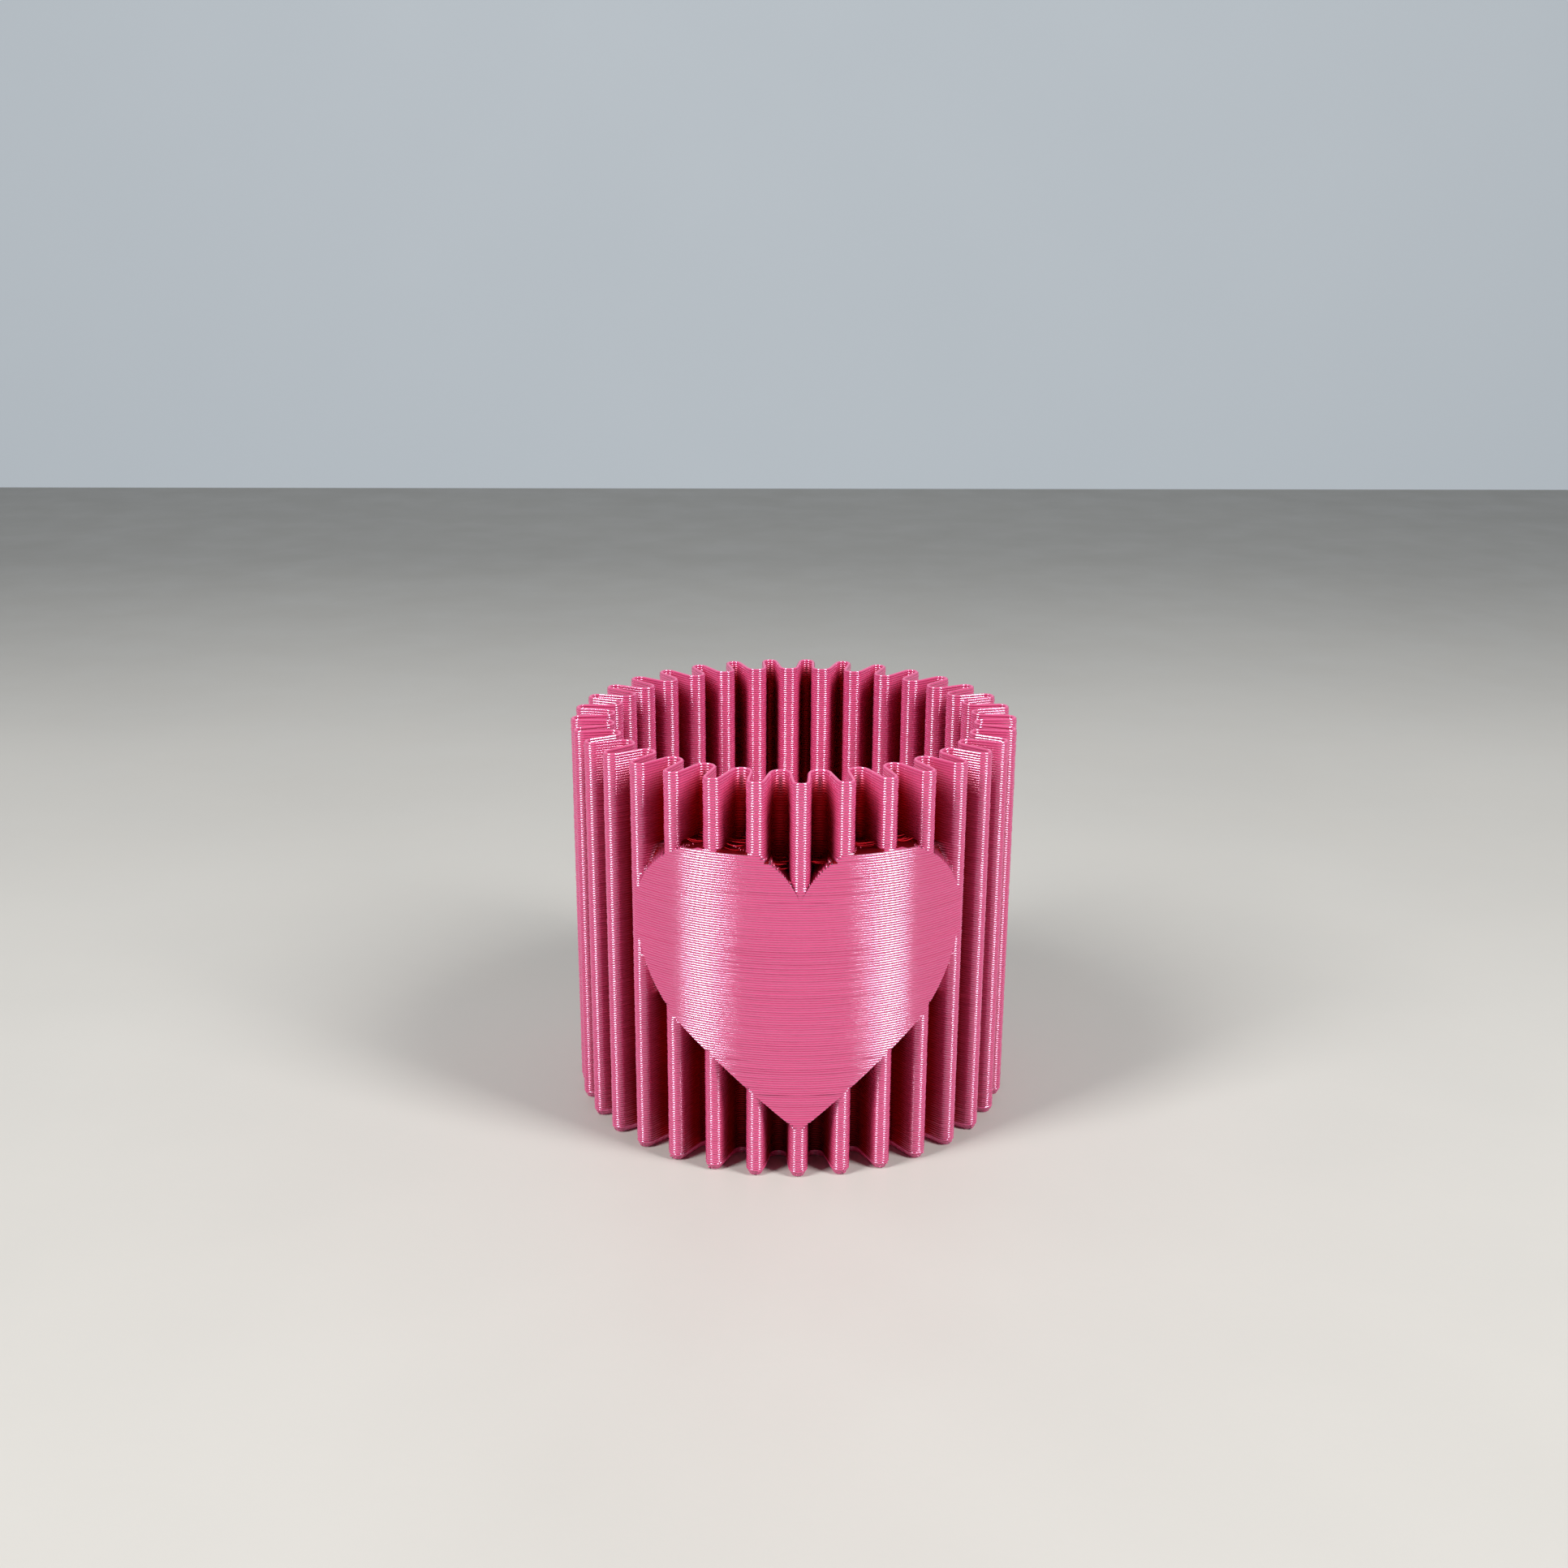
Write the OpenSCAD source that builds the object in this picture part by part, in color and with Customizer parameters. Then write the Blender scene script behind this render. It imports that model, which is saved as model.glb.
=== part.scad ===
// Pleated tea-light lantern with a raised heart, and the LED tea light that stands in it.
// The lantern stands on z = 0 with its axis on Z, and the heart faces -Y. Millimetres.

/* [Lantern] */
// Height of the lantern
lantern_h = 44.5; // [40:0.5:70]
// Thickness of the printed wall
wall_t = 0.45; // [0.4:0.05:0.9]
// Number of pleats around the wall
pleats = 33; // [29:2:37]
// Depth of a pleat, from the middle of the wall outside to the middle of the wall inside
pleat_depth = 4.5; // [3.6:0.1:5.4]
// Bend radius of the outer folds, at the middle of the wall
outer_bend = 0.8; // [0.6:0.05:1]
// Bend radius of the inner folds, at the middle of the wall
inner_bend = 1.05; // [0.6:0.05:1.1]
// Free space between the tea light and the inner folds, all round
light_gap = 1.35; // [0.6:0.05:3]

/* [Floor] */
// Height of one printed layer
layer_h = 0.28; // [0.2:0.02:0.32]
// Layers in the floor
floor_layers = 3; // [2:1:6]
// How far each floor layer stands back from the one above
foot_step = 0.15; // [0:0.05:0.2]

/* [Heart] */
// Half of the width of the heart
heart_half_w = 17.1; // [13:0.1:20.5]
// Height of the heart's lower tip
heart_tip_z = 5.6; // [3:0.1:8]
// Height at which the heart is widest
heart_wide_z = 28.3; // [24:0.1:31]
// Radius of the heart's outer flanks
heart_flank_r = 16.9; // [15:0.1:17]
// Depth of the notch between the two lobes
heart_notch = 5.9; // [5:0.1:6.4]
// How far the centres of the lobes stand above the widest line
heart_lobe_rise = 0.4; // [0:0.1:1]

/* [Tea light] */
// Diameter of the tea light
light_d = 37.4; // [36:0.1:45]
// Height of the tea light's body
cup_h = 18; // [16:0.5:22]
// Height of the flame's point above the table side of the tea light
flame_tip_z = 33.5; // [31:0.5:38]
// Width of the flame
flame_w = 10.4; // [9.6:0.1:12]
// Wall of the body
cup_wall = 1.2; // [0.8:0.1:1.6]
// Depth of the dish in the top
dish_depth = 1.6; // [0.8:0.1:2.4]
// Wall of the flame
flame_wall = 0.8; // [0.6:0.1:1]
// Thickness of the flange that holds the flame under the dish
flange_t = 0.8; // [0.6:0.1:1.2]

/* [Base moulding] */
// Thickness of the base moulding
base_t = 1.6; // [1.5:0.1:2.4]
// Gap of the pieces that drop into each other
fit = 0.15; // [0.1:0.05:0.25]
// Thickness of the battery door
door_t = 1.2; // [1:0.1:1.4]
// Thickness of the walls inside the base moulding
rib_t = 1; // [0.8:0.1:1.2]
// Diameter of the screw's thread
screw_d = 1.7; // [1.4:0.1:2]

/* [Electrics] */
// Diameter of the coin cell
cell_d = 20; // [20:0.5:24]
// Thickness of the coin cell
cell_t = 3.2; // [2.5:0.1:3.2]
// Diameter of the LED
led_d = 5; // [4.8:0.1:5]
// Thickness of the contact strips
strip_t = 0.2; // [0.15:0.05:0.3]
// Width of the contact strips
strip_w = 3; // [2:0.1:3.4]
// Travel of the switch
travel = 2; // [1.6:0.1:2.4]

/* [Hidden] */

$fn = 96;
eps = 0.5;            // overshoot of a cutting tool past the face that it cuts

// ---- Lantern wall ----
step = 360 / pleats;
clear_r = light_d / 2 + light_gap;             // free radius inside the folds
valley_r = clear_r + wall_t / 2;               // middle of the wall at an inner fold
ridge_r = valley_r + pleat_depth;              // middle of the wall at an outer fold
lantern_r = ridge_r + wall_t / 2;
floor_t = layer_h * floor_layers;
ridge_c = [0, -(ridge_r - outer_bend)];        // centre of the front ridge's bend
valley_c = (valley_r + inner_bend) * [sin(step / 2), -cos(step / 2)];
// The straight leg of a pleat runs into both bends: its normal, seen from the ridge's centre
tuck = 0.005;         // how far a leg lies inside the bends, so that it meets them cleanly
bend_gap = norm(valley_c - ridge_c);
leg_turn = acos((outer_bend + inner_bend - 2 * tuck) / bend_gap);
leg_dir = atan2(valley_c.y - ridge_c.y, valley_c.x - ridge_c.x) - leg_turn;
leg_n = [cos(leg_dir), sin(leg_dir)];

function turned(p, a) = [p.x * cos(a) - p.y * sin(a), p.x * sin(a) + p.y * cos(a)];
function mirrored(p) = [-p.x, p.y];

// Filled outline of the pleats, out to a skin that stands off from the middle of the wall
module pleat_area(off) {
    on_ridge = ridge_c + (outer_bend + off - tuck) * leg_n;
    on_valley = valley_c - (inner_bend - off - tuck) * leg_n;
    difference() {
        union() {
            polygon([
                for (k = [0:pleats - 1], p = [
                    mirrored(on_valley), mirrored(on_ridge), on_ridge, on_valley
                ]) turned(p, k * step)
            ]);
            for (k = [0:pleats - 1]) rotate(k * step)
                translate(ridge_c) circle(outer_bend + off);
        }
        for (k = [0:pleats - 1]) rotate(k * step)
            translate(valley_c) circle(inner_bend - off);
    }
}

// ---- Heart ----
flank_x = heart_half_w - heart_flank_r;        // centre of the right flank
// Radius of the lobes that fills the width and leaves the notch as deep as it should be
lobe_r = heart_half_w + heart_notch - sqrt(2 * heart_half_w * heart_notch);
lobe_x = heart_half_w - lobe_r;                // centre of the right lobe
// The straight side runs from the tip to where it touches the flank
tip_to_flank = norm([flank_x, heart_wide_z - heart_tip_z]);
side_dir = atan2(heart_wide_z - heart_tip_z, flank_x) - asin(heart_flank_r / tip_to_flank);
// The heart ends on the last ridge that it reaches on either side
heart_reach = step * ceil(asin(heart_half_w / lantern_r) / step);
face_relief = 0.05;   // the heart's face is thinner than the wall, so it clears the folds

function arc(c, r, from, to, steps) = [
    for (i = [0:steps], a = from + (to - from) * i / steps) c + r * [cos(a), sin(a)]
];

// Right side of the heart from the tip to the notch, x across and y up, drawn in by a wall
function heart_side(inset) = concat(
    [[0, heart_tip_z + inset / cos(side_dir)]],
    arc([flank_x, heart_wide_z], heart_flank_r - inset, side_dir - 90, 0, 12),
    arc(
        [lobe_x, heart_wide_z + heart_lobe_rise], lobe_r - inset,
        0, acos(-min(1, lobe_x / (lobe_r - inset))), 30
    )
);

// The heart as a block that reaches from the axis out through the front of the lantern
module heart_block(inset) {
    right = heart_side(inset);
    left = [for (i = [len(right) - 2:-1:1]) mirrored(right[i])];
    far = 2 * lantern_r;                       // well past the front of the lantern
    side = far * [sin(heart_reach), -cos(heart_reach)];
    intersection() {
        rotate([90, 0, 0]) linear_extrude(lantern_r + eps) polygon(concat(right, left));
        linear_extrude(lantern_h)
            polygon([[0, 0], mirrored(side), [-side.x, -far], [side.x, -far], side]);
    }
}

// ---- Tea light, heights counted from the lantern's floor ----
light_r = light_d / 2;
cup_inner_r = light_r - cup_wall;
base_r = cup_inner_r - fit;                    // base moulding
cup_step = 0.45;                               // step in the body that the base seats on
room_r = cup_inner_r - cup_step - fit;         // free radius over the base moulding
dish_r = light_r - 2.2;
cup_round = 1;                                 // rounding of the body's top edge
dish_z = cup_h - dish_depth;                   // surface of the dish
flange_z = dish_z - cup_wall - flange_t;       // underside of the flame's flange
flame_hole_r = flame_w / 2 + fit;
flame_belly = 4;                               // height of the widest part over the flange
flame_belly_z = flange_z + flange_t + flame_belly;
flame_arc = ((flame_tip_z - flame_belly_z) ^ 2 + (flame_w / 2) ^ 2) / flame_w;
flange_r = flame_hole_r + 1.2;

led_flange_r = led_d / 2 + 0.4;
led_flange_t = 1;
led_z = flange_z - led_flange_t;               // underside of the LED's flange
led_h = 8.6;                                   // LED with its flange
lead_x = 1.27;                                 // half of the pitch of the LED's leads
lead_w = 0.5;
post_bore_r = 2.1;
post_r = led_flange_r + 1.6;                   // post that carries the LED

turn_x = post_r + 1.4;                         // where the negative strip goes down into the well
well_r = cell_d / 2 + 0.7;                     // inside of the battery well
// The well lies near the rim, but no further out than the negative strip can follow
well_y = -min(
    base_r - well_r - rib_t - 0.8, sqrt((well_r - fit) ^ 2 - turn_x ^ 2) - strip_w / 2
);
cell_top_z = door_t + cell_t;
roof_z = cell_top_z + 0.5;                     // underside of the well's roof
strip_z = roof_z + rib_t;                      // top of the roof, where the strips lie

ear_r = 2.4;                                   // ear of the door, where its screw sits
ear_t = 1.1;
ear_off = well_r + 2.5;                        // from the middle of the well to the screw
ear_rim = 0.5;                                 // least rim of the base moulding around the ear
// A wide cell turns the ear towards the switch, until it lies inside the base moulding
ear_reach = base_r - ear_rim - fit - ear_r;
ear_turn = asin(max(0, (ear_off ^ 2 + well_y ^ 2 - ear_reach ^ 2) / (-2 * ear_off * well_y)));
ear_x = ear_off * cos(ear_turn);
ear_y = well_y + ear_off * sin(ear_turn);
screw_head_r = 1.6;
screw_head_t = 0.6;
screw_len = 3.6;
boss_r = screw_d / 2 + 1.1;
tongue_w = 4;                                  // tongue that hooks the door's other side
tongue_t = 0.6;

leaf_z = door_t + 1.5;                         // lower end of both contact leaves
plus_x = -1.6;                                 // right side of the positive leaf
anode_x = post_r + 0.2;                        // left side of the anode leaf
lap = 0.6;                                     // how far the wiper covers each leaf
wiper_gap = 0.05;
block_d = 3.2;
block_w = anode_x - plus_x + 2 * lap;
block_x = plus_x - lap - travel;               // left side of the block, switched off
rail_over = 1;                                 // how far the rail reaches past the block
rail_end = block_x + block_w + travel + rail_over;
// The leaves stand clear of the well, and leave room in the body for the slider and its rail
switch_d = 2 * strip_t + wiper_gap + block_d + fit + rib_t;
leaf_y = min(well_y + well_r + rib_t + 1.5, sqrt(room_r ^ 2 - rail_end ^ 2) - switch_d);
wiper_y = leaf_y + strip_t + wiper_gap;
wiper_z = 1.2;                                 // height of the wiper on the slider's block
block_y = wiper_y + strip_t;                   // near face of the slider's block
block_z = base_t + 0.1;
block_h = 3.4;
knob_w = 2;
knob_x = block_x + (block_w - knob_w) / 2;
knob_y = block_y + 0.6;
knob_z = 0.2;                                  // the knob stays above the table side
slot_gap = 0.2;                                // play of the knob in its slot

module base_plate() {
    color("palevioletred") for (i = [0:floor_layers - 1])
        translate([0, 0, i * layer_h]) linear_extrude(layer_h)
            pleat_area(wall_t / 2 - foot_step * (floor_layers - 1 - i));
}

module pleated_wall() {
    color("hotpink") difference() {
        translate([0, 0, floor_t]) linear_extrude(lantern_h - floor_t) difference() {
            pleat_area(wall_t / 2);
            pleat_area(-wall_t / 2);
        }
        heart_block(0);
    }
}

module heart_panel() {
    color("lightpink") difference() {
        intersection() {
            heart_block(0);
            linear_extrude(lantern_h) difference() {
                circle(lantern_r, $fn = 200);
                pleat_area(-wall_t / 2);
            }
        }
        intersection() {
            heart_block(wall_t);
            cylinder(r = lantern_r - wall_t + face_relief, h = lantern_h, $fn = 200);
        }
    }
}

// Everything of the tea light stands on the lantern's floor
module on_floor() {
    translate([0, 0, floor_t]) children();
}

module candle_cup() {
    color("ivory") on_floor() rotate_extrude() difference() {
        union() {
            square([light_r, cup_h - cup_round]);
            square([light_r - cup_round, cup_h]);
            translate([light_r - cup_round, cup_h - cup_round]) circle(cup_round);
        }
        translate([0, -eps]) square([cup_inner_r, base_t + eps]);
        square([cup_inner_r - cup_step, dish_z - cup_wall]);
        translate([0, dish_z]) square([dish_r, dish_depth + eps]);
        square([flame_hole_r, cup_h]);
    }
}

// Half of a pointed oval that stands on the axis
module flame_half(inset) {
    arc_x = flame_arc - flame_w / 2;
    intersection() {
        translate([-arc_x, flame_belly_z]) circle(flame_arc - inset, $fn = 200);
        translate([0, flange_z]) square([flame_w, flame_tip_z - 0.4 - inset - flange_z]);
    }
}

module flame_tip() {
    color("oldlace") on_floor() rotate_extrude() difference() {
        union() {
            flame_half(0);
            translate([0, flange_z]) square([flange_r, flange_t]);
        }
        difference() {
            translate([0, -eps]) flame_half(flame_wall);
            translate([0, flame_tip_z - 4]) square([flame_w, 8]);
        }
    }
}

module led_bulb() {
    dome_z = led_z + led_h - led_d / 2;
    color("lightyellow") on_floor() {
        translate([0, 0, led_z]) cylinder(r = led_flange_r, h = led_flange_t);
        translate([0, 0, led_z]) cylinder(d = led_d, h = dome_z - led_z);
        translate([0, 0, dome_z]) difference() {
            sphere(d = led_d);
            translate([0, 0, -led_d]) cylinder(d = 2 * led_d, h = led_d);
        }
    }
}

module led_leads() {
    color("silver") on_floor() for (side = [-1, 1])
        translate([side * lead_x - lead_w / 2, -lead_w / 2, strip_z + strip_t])
            cube([lead_w, lead_w, led_z - strip_z - strip_t]);
}

// Outline of the door: a disc over the cell with an ear for the screw
module door_outline(grow, ear = true) {
    translate([0, well_y]) {
        circle(well_r - fit + grow);
        if (ear) rotate(ear_turn) {
            translate([ear_off, 0]) circle(ear_r + grow);
            translate([0, -ear_r - grow]) square([ear_off, 2 * (ear_r + grow)]);
        }
    }
}

module chassis() {
    slot_l = knob_w + travel + 2 * slot_gap;
    color("whitesmoke") on_floor() difference() {
        union() {
            cylinder(r = base_r, h = base_t);
            translate([0, well_y, 0]) cylinder(r = well_r + rib_t, h = strip_z);
            cylinder(r = post_r, h = flange_z);
            translate([ear_x, ear_y, 0]) cylinder(r = boss_r, h = strip_z);
            // rail behind the slider
            translate([block_x - rail_over, block_y + block_d + fit, 0])
                cube([rail_end - block_x + rail_over, rib_t, block_z + block_h]);
        }
        // battery well and the opening for its door
        translate([0, well_y, -eps]) cylinder(r = well_r, h = roof_z + eps);
        translate([0, 0, -eps]) linear_extrude(ear_t + eps) door_outline(fit);
        translate([ear_x, ear_y, -eps]) cylinder(d = screw_d + 0.1, h = screw_len + eps);
        // pocket for the door's tongue
        translate([
            -well_r - rib_t + 0.1, well_y - tongue_w / 2 - fit, door_t - tongue_t - fit
        ]) cube([well_r, tongue_w + 2 * fit, tongue_t + 2 * fit]);
        // bore for the leads, with a seat for the LED and a way out for the strips
        translate([0, 0, strip_z]) cylinder(r = post_bore_r, h = flange_z);
        translate([0, 0, led_z]) cylinder(r = led_flange_r + 0.05, h = flange_z);
        translate([-post_r - eps, -strip_w / 2 - 0.1, strip_z])
            cube([2 * (post_r + eps), strip_w + 0.2, 2.5 * strip_t]);
        // slot in the roof for the negative strip
        translate([-turn_x - 0.2, -strip_w / 2 - 0.1, roof_z - eps])
            cube([strip_t + 0.4, strip_w + 0.2, rib_t + 2 * eps]);
        // gap for the positive strip, through the well's wall and past the post
        translate([plus_x - strip_w - 0.1, well_y, leaf_z - 0.1])
            cube([strip_w + 0.2, leaf_y - well_y, strip_t + 0.2]);
        // slot for the knob
        translate([knob_x - slot_gap, knob_y - slot_gap, -eps])
            cube([slot_l, knob_w + 2 * slot_gap, base_t + 2 * eps]);
    }
}

module coin_cell() {
    cap_t = 0.3;
    color("silver") on_floor() translate([0, well_y, door_t]) {
        cylinder(d = cell_d, h = cell_t - cap_t);
        cylinder(d = cell_d - 2.4, h = cell_t);
    }
}

module negative_contact() {
    color("gold") on_floor() translate([-turn_x, -strip_w / 2, 0]) {
        translate([0, 0, strip_z]) cube([turn_x - lead_x + lead_w, strip_w, strip_t]);
        translate([0, 0, cell_top_z]) cube([strip_t, strip_w, strip_z + strip_t - cell_top_z]);
        translate([0, 0, cell_top_z]) cube([4, strip_w, strip_t]);
    }
}

module positive_contact() {
    // the strip stops just short of the round side of the cell
    touch_y = well_y + sqrt((cell_d / 2) ^ 2 - plus_x ^ 2) + 0.02;
    color("gold") on_floor() translate([plus_x - strip_w, 0, leaf_z]) {
        translate([0, touch_y, 0]) cube([strip_w, leaf_y + strip_t - touch_y, strip_t]);
        translate([0, leaf_y, 0]) cube([strip_w, strip_t, strip_z - leaf_z]);
    }
}

module anode_contact() {
    start_x = lead_x - lead_w;
    color("gold") on_floor() {
        translate([start_x, -strip_w / 2, strip_z])
            cube([anode_x + strip_w - start_x, strip_w, strip_t]);
        translate([anode_x, -strip_w / 2, strip_z])
            cube([strip_w, leaf_y + strip_t + strip_w / 2, strip_t]);
        translate([anode_x, leaf_y, leaf_z]) cube([strip_w, strip_t, strip_z + strip_t - leaf_z]);
    }
}

module switch_slider() {
    color("dimgray") on_floor() {
        translate([block_x, block_y, block_z]) cube([block_w, block_d, block_h]);
        translate([knob_x, knob_y, knob_z]) cube([knob_w, knob_w, block_z - knob_z]);
    }
}

module switch_wiper() {
    color("gold") on_floor() translate([block_x, wiper_y, block_z + wiper_z])
        cube([block_w, strip_t, strip_w / 2]);
}

module battery_door() {
    color("gainsboro") on_floor() difference() {
        union() {
            linear_extrude(door_t) door_outline(0, ear = false);
            linear_extrude(ear_t) door_outline(0);
            translate([-well_r - rib_t + 0.3, well_y - tongue_w / 2, door_t - tongue_t])
                cube([well_r, tongue_w, tongue_t]);
        }
        translate([ear_x, ear_y, -eps]) cylinder(d = screw_d + 0.3, h = ear_t + 2 * eps);
        translate([ear_x, ear_y, -eps]) cylinder(r = screw_head_r + 0.1, h = screw_head_t + 0.1 + eps);
    }
}

module door_screw() {
    color("lightsteelblue") on_floor() translate([ear_x, ear_y, 0.1]) difference() {
        union() {
            cylinder(r = screw_head_r, h = screw_head_t);
            cylinder(d = screw_d, h = screw_len - 0.3);
        }
        for (a = [0, 90]) rotate(a) translate([-1, -0.2, -eps]) cube([2, 0.4, eps + 0.35]);
    }
}

base_plate();
pleated_wall();
heart_panel();
candle_cup();
flame_tip();
led_bulb();
led_leads();
chassis();
coin_cell();
negative_contact();
positive_contact();
anode_contact();
switch_slider();
switch_wiper();
battery_door();
door_screw();
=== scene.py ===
"""Looks of the pleated heart lantern: one printed wall laid up layer by layer, and the LED tea light."""
import math

import bpy
import numpy as np
from mathutils import Matrix, Vector


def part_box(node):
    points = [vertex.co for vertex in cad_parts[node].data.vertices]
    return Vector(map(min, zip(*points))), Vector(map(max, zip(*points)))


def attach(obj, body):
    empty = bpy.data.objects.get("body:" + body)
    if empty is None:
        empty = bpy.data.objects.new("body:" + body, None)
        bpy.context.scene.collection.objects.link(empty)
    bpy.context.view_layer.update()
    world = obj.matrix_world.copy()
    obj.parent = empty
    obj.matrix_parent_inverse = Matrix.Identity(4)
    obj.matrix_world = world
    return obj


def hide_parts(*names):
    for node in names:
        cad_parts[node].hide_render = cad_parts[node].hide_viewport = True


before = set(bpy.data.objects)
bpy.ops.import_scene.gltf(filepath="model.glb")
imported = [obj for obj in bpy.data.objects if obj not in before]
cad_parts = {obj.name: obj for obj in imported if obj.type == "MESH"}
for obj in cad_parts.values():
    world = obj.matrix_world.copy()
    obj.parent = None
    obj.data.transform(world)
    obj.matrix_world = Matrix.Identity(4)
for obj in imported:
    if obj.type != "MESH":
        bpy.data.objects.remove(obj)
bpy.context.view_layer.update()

MM = 0.001
rng = np.random.default_rng(11)

# ---------------------------------------------------------------- sizes, in millimetres


def box_mm(node):
    low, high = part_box(node)
    return np.array(low) / MM, np.array(high) / MM


wall_low, wall_high = box_mm("pleated_wall")
HEIGHT = wall_high[2]
RADIUS = -wall_low[1]
FLOOR_T = wall_low[2]
HEART_LOW, HEART_HIGH = box_mm("heart_panel")

PLEATS = 33
WALL = 0.45
PLEAT_DEPTH = 4.5
VALLEY_MID = 1.05                 # bend radius of the middle of the wall in a valley
RIDGE_BEND = 0.8 + WALL / 2       # radius of the outer skin on a ridge
VALLEY_BEND = VALLEY_MID - WALL / 2
LAYERS = 160                      # printed layers above the floor
FLOOR_LAYERS = 3
FOOT_STEP = 0.15                  # how far each floor layer stands back from the one above
GROOVE = 0.05                     # depth of the groove between two layers
RIM_ROUND = 0.13                  # how far the last layer rounds in at the rim
LAYER_SHIFT = 0.010               # how far a layer sits in or out
LAYER_WANDER = 0.005              # how far it wanders to each side along its way
WANDER_WAVES = (3, 7, 19, 41)     # waves round the wall in which it wanders
BEAD_TURN = math.radians(47)      # how far a bead has turned up or down where it meets the next
BEND_STEPS = 6                    # columns in each bend
CORNER_COL = 3                    # the column that stays on the heart's edge from layer to layer
LEAP = 0.35                       # a bead that lies further to the side of the one below makes a ledge
SIDE_DEPTH = 0.2                  # a point this far behind the heart's face belongs to its side
SEARCH_COLS = 6                   # columns either way in which the nearest stretch of a row is looked for
STEP = 2 * math.pi / PLEATS

# Fold shade: painted shade, 0 on skin in the open, 1 on skin deep in a fold; it darkens the material
GROOVE_SHADE = 0.14               # how much painted shade a groove gets
LEDGE_SHADE = 0.9                 # and a ledge
RIM_LIGHT = 2.5                   # the painted light at the rim fades into the folds over this depth
FLOOR_DARK = 8                    # and the painted shade in the folds deepens towards the floor over this height
FLOOR_SHARE = 0.2                 # by this share

# The wall's baking map: the outer skin below, the inner skin above it, the cut edges on top
SKIN_SHARE = 0.45
BACK_START = 0.47
EDGE_START = 0.94
EDGE_STEP = 0.0075
EDGE_WIDTH = 0.01

# Heart outline: a straight side from the tip, a flank arc and a lobe arc, mirrored
HEART_HALF_W = HEART_HIGH[0]
HEART_TIP = HEART_LOW[2]
FLANK_R = 16.9
FLANK_X = HEART_HALF_W - FLANK_R
FLANK_Z = 28.3
LOBE_R = 8.8
LOBE_X = HEART_HALF_W - LOBE_R
HEART_PLEATS = range(-5, 5)       # the pleats that the heart may reach
LOBE_Z = HEART_HIGH[2] - LOBE_R
FLANK_REACH = math.hypot(FLANK_X, FLANK_Z - HEART_TIP)
SIDE_SLOPE = math.atan2(FLANK_Z - HEART_TIP, FLANK_X) - math.asin(FLANK_R / FLANK_REACH)
TOUCH_Z = FLANK_Z - FLANK_R * math.cos(SIDE_SLOPE)      # where the straight side meets the flank arc

# ---------------------------------------------------------------- mesh helpers


def link(obj):
    bpy.context.scene.collection.objects.link(obj)
    return obj


def mesh_object(name, verts, faces, material, smooth=True):
    """A mesh from vertices in millimetres."""
    mesh = bpy.data.meshes.new(name)
    mesh.from_pydata([tuple(v) for v in np.asarray(verts) * MM], [], faces)
    mesh.polygons.foreach_set("use_smooth", [smooth] * len(mesh.polygons))
    mesh.materials.append(material)
    mesh.update()
    return link(bpy.data.objects.new(name, mesh))


def grid_faces(rows, cols, closed=False):
    """Quads between rings of points; a closed grid joins the last ring to the first."""
    return [(i * cols + j, i * cols + (j + 1) % cols,
             (i + 1) % rows * cols + (j + 1) % cols, (i + 1) % rows * cols + j)
            for i in range(rows if closed else rows - 1) for j in range(cols)]


def unit(vectors):
    return vectors / np.maximum(np.linalg.norm(vectors, axis=-1, keepdims=True), 1e-9)


def quad_mesh(name, verts, quads, normals, uvs, fold_shade, material):
    """A large quad mesh with its own corner normals and a baking map, from arrays."""
    used, back = np.unique(quads, return_inverse=True)
    quads = back.reshape(quads.shape)
    verts = verts[used]
    mesh = bpy.data.meshes.new(name)
    mesh.vertices.add(len(verts))
    mesh.vertices.foreach_set("co", (verts * MM).astype(np.float32).ravel())
    mesh.loops.add(quads.size)
    mesh.loops.foreach_set("vertex_index", quads.astype(np.int32).ravel())
    mesh.polygons.add(len(quads))
    mesh.polygons.foreach_set("loop_start", np.arange(0, quads.size, 4, dtype=np.int32))
    mesh.polygons.foreach_set("use_smooth", np.ones(len(quads), dtype=bool))
    layer = mesh.uv_layers.new(name="OFBake")
    layer.data.foreach_set("uv", uvs.astype(np.float32).ravel())
    # The painted fold shade goes on each corner as an attribute that the material reads.
    depth = mesh.attributes.new("fold_shade", "FLOAT", "CORNER")
    depth.data.foreach_set("value", fold_shade.ravel().astype(np.float32))
    mesh.materials.append(material)
    mesh.update(calc_edges=True)
    mesh.normals_split_custom_set(normals.reshape(-1, 3))
    return link(bpy.data.objects.new(name, mesh))


# ---------------------------------------------------------------- the printed outline


def turned(points, angle):
    c, s = np.cos(angle), np.sin(angle)
    x, y = points[..., 0], points[..., 1]
    return np.stack([x * c - y * s, x * s + y * c], -1)


def compass(angle):
    """The direction at an angle from the heart's, counted towards +X."""
    return np.stack([np.sin(angle), -np.cos(angle)], -1)


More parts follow.
